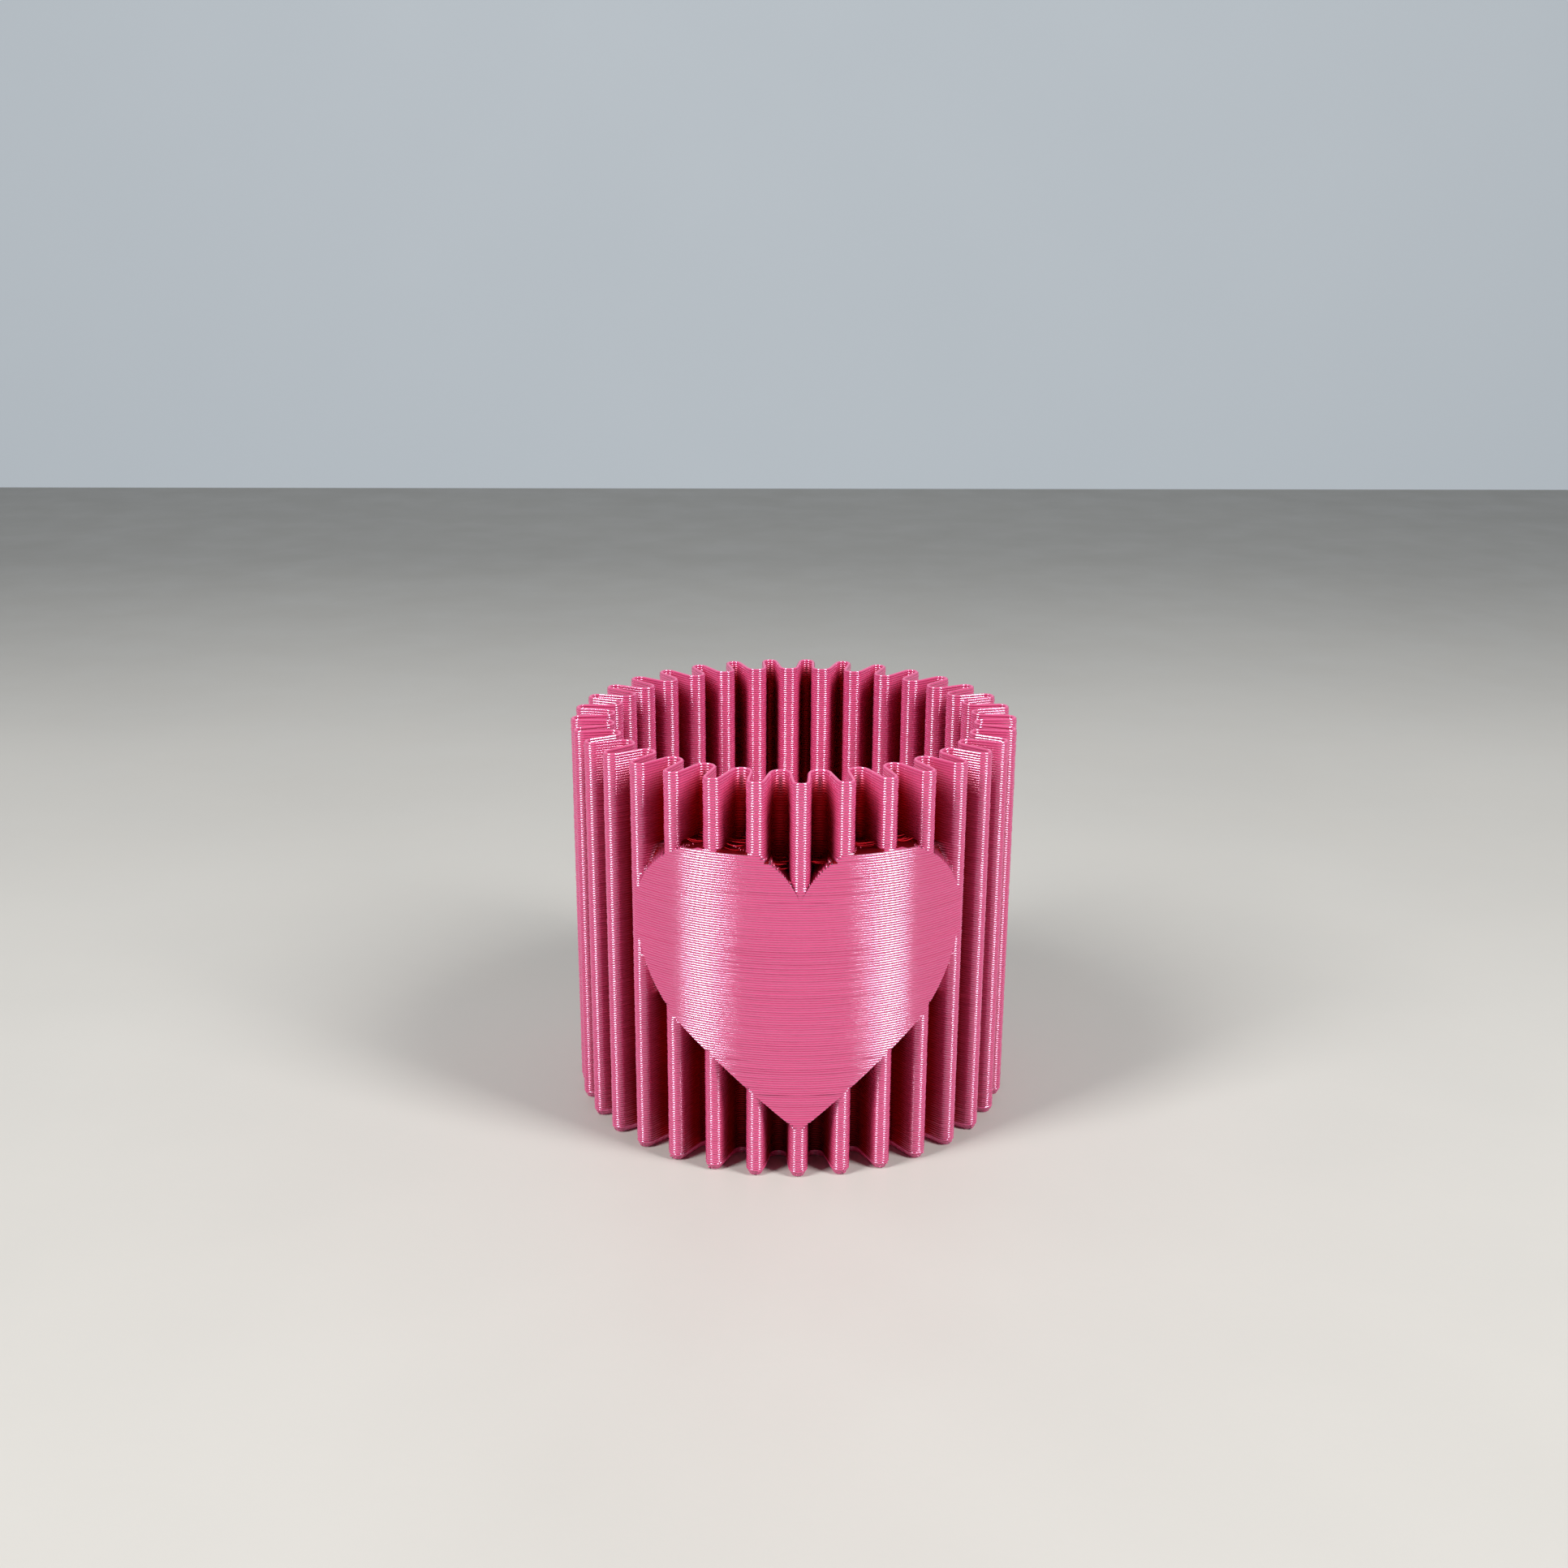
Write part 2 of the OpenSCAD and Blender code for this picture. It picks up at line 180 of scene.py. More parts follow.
def pleat_column():
    """Outer skin of one pleat, from one ridge to the next, and the way each point faces."""
    valley_r = RADIUS - WALL / 2 - PLEAT_DEPTH
    ridge_c = np.array([0.0, -(RADIUS - RIDGE_BEND)])
    valley_c = (valley_r + VALLEY_MID) * np.array([math.sin(STEP / 2), -math.cos(STEP / 2)])
    span = valley_c - ridge_c
    leg = math.atan2(span[1], span[0]) - math.acos((RIDGE_BEND + VALLEY_BEND) / np.linalg.norm(span))
    half = BEND_STEPS // 2
    rise = np.linspace(-math.pi / 2, leg, half + 1)
    face_r = np.stack([np.cos(rise), np.sin(rise)], -1)
    down = np.linspace(math.pi + leg, math.pi / 2 + STEP / 2, half + 1)
    face_v = -np.stack([np.cos(down), np.sin(down)], -1)
    first = np.concatenate([ridge_c + RIDGE_BEND * face_r, valley_c - VALLEY_BEND * face_v])
    faces = np.concatenate([face_r, face_v])
    # the second half mirrors the first in the valley's middle
    flip = turned(first, -STEP / 2) * [-1, 1]
    flip_n = turned(faces, -STEP / 2) * [-1, 1]
    second = turned(flip, STEP / 2)[::-1][1:-1]
    second_n = turned(flip_n, STEP / 2)[::-1][1:-1]
    return np.concatenate([first, second]), np.concatenate([faces, second_n])


PLEAT, PLEAT_N = pleat_column()
COLS = len(PLEAT)                 # columns in one pleat
ANGLES = STEP * np.arange(PLEATS)
OUTLINE = np.concatenate([turned(PLEAT, a) for a in ANGLES])
OUTLINE_N = np.concatenate([turned(PLEAT_N, a) for a in ANGLES])
TOTAL = len(OUTLINE)


def heart_spans(z):
    """The stretches of x that the heart covers at a height."""
    if z <= HEART_TIP or z >= LOBE_Z + LOBE_R:
        return []
    if z < TOUCH_Z:
        half = (z - HEART_TIP) / math.tan(SIDE_SLOPE)
    elif z < FLANK_Z:
        half = FLANK_X + math.sqrt(FLANK_R ** 2 - (z - FLANK_Z) ** 2)
    elif z < LOBE_Z:
        half = HEART_HALF_W
    else:
        reach = math.sqrt(LOBE_R ** 2 - (z - LOBE_Z) ** 2)
        if LOBE_X - reach > RADIUS * math.sin(STEP):
            return []  # too short to span two ridges: these layers fell in as threads
        half = LOBE_X + reach
        if LOBE_X - reach > 0:
            return [(-half, reach - LOBE_X), (LOBE_X - reach, half)]
    return [(-half, half)]


def crossing(points, x):
    """Where the pleat first meets the plane at x, coming in from outside: radius, column and point."""
    d = points[:, 0] - x
    best = None
    for i in np.nonzero(d[:-1] * d[1:] <= 0)[0]:
        f = d[i] / (d[i] - d[i + 1]) if d[i] != d[i + 1] else 0.0
        p = points[i] * (1 - f) + points[i + 1] * f
        r = math.hypot(*p)
        if best is None or r > best[0]:
            best = (r, i + f, p)
    return best


def covered_left(points, normals, x, angle):
    """A pleat that the heart covers from the left as far as x, where the skin turns in."""
    out, face = points.copy(), normals.copy()
    on_heart = np.zeros(len(points), bool)
    hit = crossing(points, x)
    if hit is None or hit[1] < 1.0:
        return out, face, on_heart
    _, where, corner_in = hit
    end = math.asin(min(x / RADIUS, 1.0))
    corner = RADIUS * compass(end)
    last = int(math.floor(where))
    at_corner = min(CORNER_COL, last)
    for j in range(last + 1):
        if j <= at_corner:
            face[j] = compass(angle + (end - angle) * j / at_corner)
            out[j] = RADIUS * face[j]
        else:
            f = (j - at_corner) / max(where - at_corner, 1e-6)
            out[j] = corner * (1 - f) + corner_in * f
            radius = np.linalg.norm(out[j])
            face[j] = [1.0, 0.0] if RADIUS - radius > SIDE_DEPTH else out[j] / radius
        on_heart[j] = True
    return out, face, on_heart


def mirrored(points):
    """The points mirrored left to right, in the opposite order."""
    return points[::-1] * [-1, 1]


def outline_at(z):
    """Outer skin of the printed wall at a height: the pleats joined with the heart."""
    out, face = OUTLINE.copy(), OUTLINE_N.copy()
    on_heart = np.zeros(TOTAL, bool)
    for low, high in heart_spans(z):
        for k in HEART_PLEATS:
            a = k * STEP
            left, right = RADIUS * math.sin(a), RADIUS * math.sin(a + STEP)
            if high <= left or low >= right:
                continue
            cols = (np.arange(COLS + 1) + k * COLS) % TOTAL
            pts, nrm = OUTLINE[cols], OUTLINE_N[cols]
            if low <= left and high >= right:
                nrm = compass(a + STEP * np.arange(COLS + 1) / COLS)
                pts, mark = RADIUS * nrm, np.ones(COLS + 1, bool)
            elif low <= left:
                pts, nrm, mark = covered_left(pts, nrm, high, a)
            elif high >= right:
                pts, nrm, mark = covered_left(mirrored(pts), mirrored(nrm), -low, -a - STEP)
                pts, nrm, mark = mirrored(pts), mirrored(nrm), mark[::-1]
            else:
                continue
            keep = mark[:-1] | mark[1:]
            here = cols[mark]
            out[here], face[here] = pts[mark], nrm[mark]
            on_heart[cols[:-1][keep]] = True
    return out, face, on_heart


# ---------------------------------------------------------------- the printed wall


def layer_shifts():
    """How far each layer sits in or out, and wanders along its way."""
    column = np.arange(TOTAL) / TOTAL * 2 * math.pi
    shift = rng.normal(0, LAYER_SHIFT, LAYERS)[:, None]
    for wave in WANDER_WAVES:
        size = rng.normal(0, LAYER_WANDER, (LAYERS, 1))
        shift = shift + size * np.sin(wave * column[None, :] + rng.uniform(0, 6.28, (LAYERS, 1)))
    return shift[..., None]


def layered_wall():
    """Rows of points up the wall: a groove, then the crest of a bead, for each layer."""
    pitch = (HEIGHT - FLOOR_T) / LAYERS
    layers = [outline_at(FLOOR_T + (n + 0.5) * pitch) for n in range(LAYERS)]
    crest, crest_n, marks = (np.array(part) for part in zip(*layers))
    crest = crest + crest_n * layer_shifts()
    groove = np.concatenate([crest[:1], (crest[1:] + crest[:-1]) / 2, crest[-1:]])
    groove_n = np.concatenate([crest_n[:1], crest_n[1:] + crest_n[:-1], crest_n[-1:]])
    groove_n /= np.maximum(np.linalg.norm(groove_n, axis=-1, keepdims=True), 1e-6)
    depth = np.full((LAYERS + 1, 1, 1), GROOVE) * (1 + 0.25 * rng.standard_normal((LAYERS + 1, 1, 1)))
    depth[-1] = RIM_ROUND
    rows = 2 * LAYERS + 1
    skin, face, back = (np.zeros((rows, TOTAL, 2)) for _ in range(3))
    skin[1::2], skin[0::2] = crest, groove - groove_n * depth
    back[1::2], back[0::2] = crest - crest_n * WALL, groove - groove_n * (WALL - depth)
    face[1::2], face[0::2] = crest_n, groove_n
    z = FLOOR_T + np.arange(rows) * pitch / 2
    z = z[:, None, None] * np.ones((rows, TOTAL, 1))
    return np.concatenate([skin, z], -1), np.concatenate([back, z], -1), face, marks


def corner_normals(face, sign):
    """Normals of each quad's corners: a bead faces out at its crest and up or down at its edges."""
    rows = len(face) - 1
    right = np.roll(face, -1, axis=1)
    result = np.zeros((rows, TOTAL, 4, 3))
    for r_side, corners in ((0, (0, 1)), (1, (3, 2))):
        tilt = np.zeros(rows)
        lower = np.arange(rows) % 2 == 0      # the lower half of a bead starts in a groove
        if r_side == 0:
            tilt[lower] = -1
        else:
            tilt[~lower] = 1
        for corner, source in zip(corners, (face, right)):
            flat = sign * source[r_side:rows + r_side]
            result[:, :, corner, :2] = flat * np.cos(tilt * BEAD_TURN)[:, None, None]
            result[:, :, corner, 2] = np.sin(tilt * BEAD_TURN)[:, None]
    return result


def row_distance(points, path):
    """Distance of each point of one row from the outline of another, looked for a few columns either way."""
    best = np.full(len(points), np.inf)
    for k in range(-SEARCH_COLS, SEARCH_COLS):
        a, b = np.roll(path, -k, axis=0), np.roll(path, -k - 1, axis=0)
        along = b - a
        f = np.clip(((points - a) * along).sum(-1) / np.maximum((along ** 2).sum(-1), 1e-12), 0, 1)
        best = np.minimum(best, np.linalg.norm(points - a - along * f[:, None], axis=-1))
    return best


def ledges(skin):
    """Quads that step sideways so far that they are a ledge and not a wall."""
    flat = skin[..., :2]
    step = np.array([np.maximum(row_distance(up, low), row_distance(low, up))
                     for low, up in zip(flat[:-1], flat[1:])])
    radius = np.hypot(skin[..., 0], skin[..., 1])
    near = np.minimum(radius, np.roll(radius, -1, axis=1))
    behind = np.minimum(near[:-1], near[1:]) < RADIUS - LEAP
    return (np.maximum(step, np.roll(step, -1, axis=1)) > LEAP) & behind


def ledge_normals(skin, mask):
    """Plain normals of the quads that the mask picks, the same at all four corners."""
    r, c = np.nonzero(mask)
    nxt = (c + 1) % TOTAL
    across = skin[r + 1, nxt] - skin[r, c]
    up = skin[r + 1, c] - skin[r, nxt]
    return np.repeat(unit(np.cross(across, up))[:, None], 4, axis=1)


def fold_shade_of(points, from_outside):
    """Painted fold shade of each point, from how far into the folds it lies: 0 in the open, up to 1 in the
    bottom of a fold, less under the rim and more towards the floor.
    """
    radius, z = np.hypot(points[..., 0], points[..., 1]), points[..., 2]
    depth = RADIUS - radius if from_outside else radius - (RADIUS - WALL - PLEAT_DEPTH)
    below_rim = 1 - np.exp(-(HEIGHT - z) / RIM_LIGHT)
    near_floor = 1 - FLOOR_SHARE + FLOOR_SHARE * np.exp(-(z - FLOOR_T) / FLOOR_DARK)
    return np.clip(depth / PLEAT_DEPTH, 0, 1) * below_rim * near_floor


def map_box(left, low, right, high):
    """Baking-map corners of quads, in the order of their vertices."""
    return np.stack([np.stack([left, low], -1), np.stack([right, low], -1),
                     np.stack([right, high], -1), np.stack([left, high], -1)], -2)


def skin_map(r, c, rows):
    """The outer skin unrolled over its share of the baking map."""
    left, low = c / TOTAL, r / rows
    right, high = left + 1 / TOTAL, low + 1 / rows
    return map_box(left, low * SKIN_SHARE, right, high * SKIN_SHARE)


def edge_map(count, strip):
    """Quads of a cut edge side by side in a strip at the top of the baking map."""
    at = np.arange(count) / count
    low = at * 0 + strip
    return map_box(at, low, at + 1 / count, low + EDGE_WIDTH)


def cut_edges(mask):
    """The four ways in which the mask can end: the quads that end there, and the two corners on that edge."""
    padded = np.zeros((len(mask) + 2, TOTAL), bool)
    padded[1:-1] = mask
    return [
        (mask & ~padded[:-2], 0, 1), (mask & ~padded[2:], 2, 3),
        (mask & ~np.roll(mask, 1, axis=1), 3, 0), (mask & ~np.roll(mask, -1, axis=1), 1, 2),
    ]


def wall_normals(skin, face):
    """Corner normals of the outer and the inner skin, and the ledges among the quads."""
    n_out, n_in = corner_normals(face, 1), corner_normals(face, -1)
    ledge = ledges(skin)
    n_out[ledge] = ledge_normals(skin, ledge)
    n_in[ledge] = -n_out[ledge]
    return n_out, n_in, ledge


def wall_fold_shade(skin, back):
    """Painted fold shade of all the points, the outer skin's first; a groove gets more painted shade than a
    crest.
    """
    grooves = GROOVE_SHADE * (np.arange(len(skin)) % 2 == 0)[:, None]
    return np.concatenate([(fold_shade_of(side, outside) + grooves).ravel()
                           for side, outside in ((skin, True), (back, False))])


def shell_piece(name, skin, back, face, mask, material):
    """A closed shell from the quads that the mask picks, on both skins and along the cut edges."""
    rows = len(skin) - 1
    r, c = np.meshgrid(np.arange(rows), np.arange(TOTAL), indexing="ij")
    nxt = (c + 1) % TOTAL
    verts = np.concatenate([skin.reshape(-1, 3), back.reshape(-1, 3)])
    outer = np.stack([r * TOTAL + c, r * TOTAL + nxt, (r + 1) * TOTAL + nxt, (r + 1) * TOTAL + c], -1)
    count = (rows + 1) * TOTAL        # from a point of the outer skin to its fellow on the inner skin
    inner = outer[..., ::-1] + count
    n_out, n_in, ledge = wall_normals(skin, face)
    fold_shade = wall_fold_shade(skin, back)
    uv = skin_map(r, c, rows)
    quads = [outer[mask], inner[mask]]
    norms = [n_out[mask], n_in[mask][:, ::-1]]
    # Painted shade on each corner: the fold shade, and at least LEDGE_SHADE on a ledge.
    painted_shade = [np.maximum(fold_shade[outer[mask]], LEDGE_SHADE * ledge[mask][:, None]), fold_shade[inner[mask]]]
    maps = [uv[mask], uv[mask][:, ::-1] + [0, BACK_START]]
    for edge, a, b in cut_edges(mask):
        if not edge.any():
            continue
        low, high = outer[edge][:, a], outer[edge][:, b]
        quad = np.stack([high, low, low + count, high + count], -1)
        p = verts[quad]
        n = unit(np.cross(p[:, 1] - p[:, 0], p[:, 3] - p[:, 0]))
        quads.append(quad)
        norms.append(np.repeat(n[:, None], 4, axis=1))
        painted_shade.append(fold_shade[quad])
        maps.append(edge_map(len(quad), EDGE_START + EDGE_STEP * len(quads)))
    return quad_mesh(name, verts, np.concatenate(quads), np.concatenate(norms),
                     np.clip(np.concatenate(maps), 0, 1), np.concatenate(painted_shade), material)


# ---------------------------------------------------------------- the floor and stray threads


BEAD_PROFILE = ((0.0, 0.11), (0.18, 0.035), (0.5, 0.0), (0.82, 0.035), (1.0, 0.11))   # rise, tuck
FILL_RINGS = (18.6, 13.0, 7.5, 2.0, 0.02)
STRAND_SPLAY = (0.13, 0.21, 1.0)      # a direction that no strand runs along
STRAND_END = 0.35                     # share of its radius that a strand keeps at its ends
THREAD_PLEATS = range(-4, 4)
THREADS_A_FOLD = 6
HAIRS = 80
HAIR_SPAN = 15.5                      # hairs stand within this distance of the heart's middle
LOBE_CLEAR = 1.2                      # and no closer than this to the top of a lobe
BLOBS_A_RIB = 3
BLOB_LEAN = 0.2                       # how far a blob leans in, for its height
BLOB_TURNS = (-0.006, -0.003, 0.0, 0.003, 0.006)


def floor_plate(material):
    """The printed floor: beaded layers, each standing out over the one below, closed top and bottom."""
    layer = FLOOR_T / FLOOR_LAYERS
    rings, heights = [], []
    for n in range(FLOOR_LAYERS):
        inset = FOOT_STEP * (FLOOR_LAYERS - 1 - n)
        for rise, tuck in BEAD_PROFILE:
            rings.append(OUTLINE - OUTLINE_N * (inset + tuck))
            heights.append((n + rise) * layer)
    circle = compass(2 * math.pi * np.arange(TOTAL) / TOTAL)
    rings = [circle * r for r in reversed(FILL_RINGS)] + rings + [circle * r for r in FILL_RINGS]
    heights = [0.0] * len(FILL_RINGS) + heights + [FLOOR_T] * len(FILL_RINGS)
    verts = np.concatenate([np.column_stack([ring, np.full(TOTAL, z)]) for ring, z in zip(rings, heights)])
    plate = mesh_object("floor_plate", verts, grid_faces(len(rings), TOTAL), material)
    plate.data.set_sharp_from_angle(angle=math.radians(50))
    return plate


def strand(points, radius, sides=5):
    """A thin thread through the points: its vertices and faces."""
    points = np.asarray(points, float)
    along = np.gradient(points, axis=0)
    along /= np.linalg.norm(along, axis=1, keepdims=True)
    side = np.cross(along, STRAND_SPLAY)
    side /= np.linalg.norm(side, axis=1, keepdims=True)
    over = np.cross(side, along)
    turn = 2 * math.pi * np.arange(sides) / sides
    taper = np.ones(len(points))
    taper[[0, -1]] = STRAND_END
    ring = (np.cos(turn)[None, :, None] * side[:, None] + np.sin(turn)[None, :, None] * over[:, None])
    verts = (points[:, None] + ring * (radius * taper)[:, None, None]).reshape(-1, 3)
    start_cap = tuple(range(sides - 1, -1, -1))
    end_cap = tuple(range((len(points) - 1) * sides, len(points) * sides))
    return verts, grid_faces(len(points), sides) + [start_cap, end_cap]


def heart_top(x):
    """Height of the heart's upper edge over a place across its width."""
    reach = LOBE_R ** 2 - (abs(x) - LOBE_X) ** 2
    return LOBE_Z + math.sqrt(max(reach, 0))


def around(angle, radius, z):
    return (radius * math.sin(angle), -radius * math.cos(angle), z)


def sagging_threads():
    """Threads that sag across the folds over the heart's upper edge."""
    found = []
    for k in THREAD_PLEATS:
        middle = (k + 0.5) * STEP
        top = min(heart_top(RADIUS * math.sin(middle)), HEART_HIGH[2] - 0.5)
        for _ in range(THREADS_A_FOLD):
            radius = rng.uniform(RADIUS - 3.4, RADIUS - 0.7)
            half = STEP * rng.uniform(0.16, 0.30)
            z = top + rng.uniform(0.05, 0.6)
            sag = rng.uniform(0.05, 0.3)
            shift = rng.uniform(-0.2, 0.2)
            path = [around(middle + half * t, radius + shift * t, z - sag * (1 - t * t))
                    for t in np.linspace(-1, 1, 7)]
            found.append(strand(path, rng.uniform(0.04, 0.075)))
    return found


def edge_hairs():
    """Short ends that stick out where the wall turns sharply at the heart's notch and its upper edge."""
    found = []
    for _ in range(HAIRS):
        x = rng.uniform(-HAIR_SPAN, HAIR_SPAN)
        if abs(abs(x) - LOBE_X) < LOBE_CLEAR:
            continue
        z = heart_top(x) + rng.uniform(-0.15, 0.1)
        angle = math.asin(x / RADIUS)
        lift = rng.uniform(0.08, 0.22)
        lean = rng.uniform(-0.008, 0.008)
        radius = RADIUS - rng.uniform(0.1, 0.5)
        path = [around(angle + lean * t, radius - 0.1 * t, z + lift * t) for t in (0.0, 0.35, 0.7, 1.0)]
        found.append(strand(path, rng.uniform(0.035, 0.06)))
    return found


def rib_blobs():
    """Small drops of plastic where each rib starts on the table."""
    found = []
    for k in range(PLEATS):
        for _ in range(BLOBS_A_RIB):
            turn = k * STEP + rng.uniform(-0.022, 0.022)
            z = rng.uniform(0.18, 0.75)
            size = rng.uniform(0.06, 0.11)
            reach = RADIUS - 0.16 - (FLOOR_T - z) * BLOB_LEAN
            found.append(strand([around(turn + t, reach, z + 3 * abs(t)) for t in BLOB_TURNS], size, 6))
    return found


def joined(name, groups, material):
    """One mesh from groups of small pieces; each group comes with the painted shade it gets, given as how
    deep in the folds it is.
    """
    verts, faces, fold_shade, start = [], [], [], 0
    for parts, painted_shade in groups:
        for v, f in parts:
            verts.append(v)
            faces += [tuple(i + start for i in face) for face in f]
            fold_shade += [painted_shade] * len(v)
            start += len(v)
    obj = mesh_object(name, np.concatenate(verts), faces, material)
    obj.data.attributes.new("fold_shade", "FLOAT", "POINT").data.foreach_set("value", fold_shade)
    return obj


# ---------------------------------------------------------------- tea light


def smooth_path(points, rounds=2):
    """Corners of a profile cut back twice, so that it bends softly; the ends stay."""
    for _ in range(rounds):
        cut = [points[0]]
        for a, b in zip(points[:-1], points[1:]):
            a, b = np.asarray(a, float), np.asarray(b, float)
            cut += [tuple(a * 0.75 + b * 0.25), tuple(a * 0.25 + b * 0.75)]
        points = cut + [points[-1]]
    return points


def lathe(name, profile, material, segments=144, change=None):
    """A closed profile of (radius, height) turned round the axis; change moves the finished rings' points."""
    profile = np.asarray(profile, float)
    turn = 2 * math.pi * np.arange(segments) / segments
    r, z = profile[:, 0][:, None], profile[:, 1][:, None]
    if change:
        r, z = change(r, z, turn[None, :])
    x, y = r * np.sin(turn), -r * np.cos(turn)
    verts = np.stack([x, y, z + 0 * x], -1).reshape(-1, 3)
    obj = mesh_object(name, verts, grid_faces(len(profile), segments, closed=True), material)
    obj.data.set_sharp_from_angle(angle=math.radians(35))
    return obj


DISH_DEPTH = 1.6
CUP_WALL = 1.65
CUP_LIP = 1.2                     # what the wall keeps at its foot, where the chassis sits
SEAT_RISE = 1.6
DISH_T = 1.2
FLANGE_REST = 1.2                 # how far the flame's flange reaches past the hole in the dish
FLANGE_T = 0.8
FLAME_WALL = 0.8
BELLY_RISE = 4.8                  # the flame's widest place over its flange
BELLY_IN = 1.35                   # and how far it stands in from the flange's edge
TIP_ROUND = 0.9
TIP_SOLID = 4.0                   # the flame is solid over this height below its tip


def wax_cup(material):
    """The body of the tea light, with a soft rim, a dish like set wax, and a collar round the flame."""
    low, high = box_mm("candle_cup")
    foot, top, out = low[2], high[2], high[0]
    dish = top - DISH_DEPTH
    hole = box_mm("flame_tip")[1][0] - FLANGE_REST
    side = [(out - 1.0, foot), (out - 0.15, foot), (out, foot + 0.3), (out, top - 1.1)]
    rim = [(out - 0.1, top - 0.2), (out - 0.9, top), (out - 1.7, top), (out - 2.2, top - 0.4)]
    bowl = [(out - 2.35, dish + 0.5), (out - 3.0, dish + 0.1), (out - 5, dish), (hole + 2.4, dish)]
    collar = [(hole + 1.0, dish + 0.12), (hole + 0.6, dish + 0.35), (hole + 0.15, dish + 0.35), (hole, dish),
              (hole, dish - 1.1)]
    under = dish - DISH_T
    inside = [(hole + 1.6, under), (out - CUP_WALL, under), (out - CUP_WALL, foot + SEAT_RISE),
              (out - CUP_LIP, foot + SEAT_RISE), (out - CUP_LIP, foot)]

    def set_wax(r, z, turn):
        """Slow waves in the dish."""
        wave = 0.05 * np.sin(3 * turn + 0.7) + 0.035 * np.sin(5 * turn + r * 0.5)
        wave = wave + 0.02 * np.sin(11 * turn - r)
        in_dish = np.clip((r - hole - 0.8) / 1.5, 0, 1) * np.clip((out - 2.5 - r) / 1.5, 0, 1)
        return r + 0 * turn, z + wave * in_dish * (z > dish - 0.3)

    profile = smooth_path(side + rim + bowl + collar) + inside
    return lathe("wax_cup", profile, material, change=set_wax)


def flame(material):
    """Hollow frosted flame: a drop with a slow twist, on its flange."""
    low, high = box_mm("flame_tip")
    flange_z, flange_r, tip = low[2], high[0], high[2]
    belly_z, belly_r = flange_z + BELLY_RISE, flange_r - BELLY_IN
    arc = ((tip + 0.4 - belly_z) ** 2 + belly_r ** 2) / (2 * belly_r)

    def drop(z, inset):
        """Radius of the drop at a height, that far inside its skin."""
        return max(math.sqrt(max((arc - inset) ** 2 - (z - belly_z) ** 2, 0)) - (arc - belly_r), 0.0)

    round_z = tip - TIP_ROUND
    outer = [(flange_r, flange_z), (flange_r, flange_z + FLANGE_T)]
    outer += [(drop(z, 0), z) for z in np.linspace(flange_z + FLANGE_T, round_z, 40)]
    outer += [(drop(round_z, 0) * across, round_z + TIP_ROUND * rise)
              for across, rise in ((0.93, 0.4), (0.72, 0.72), (0.42, 0.92), (0.02, 1.0))]
    inner = [(0.02, tip - TIP_SOLID)]
    inner += [(drop(z, FLAME_WALL), z) for z in np.linspace(tip - TIP_SOLID - 0.2, flange_z, 24)]

    def twist(r, z, turn):
        """Three soft folds that turn as they rise and fade towards the tip."""
        up = np.clip((z - belly_z) / (tip - belly_z), 0, 1)
        body = np.clip((z - flange_z - 1.0) / 2.0, 0, 1)
        fold = 0.5 + 0.5 * np.cos(3 * turn + 2.6 * up * math.pi / 2)
        return r * (1 - 0.05 * body * (1 - 0.4 * up) * fold), z + 0 * turn

    return lathe("frosted_flame", outer + inner, material, segments=96, change=twist)


# ---------------------------------------------------------------- materials


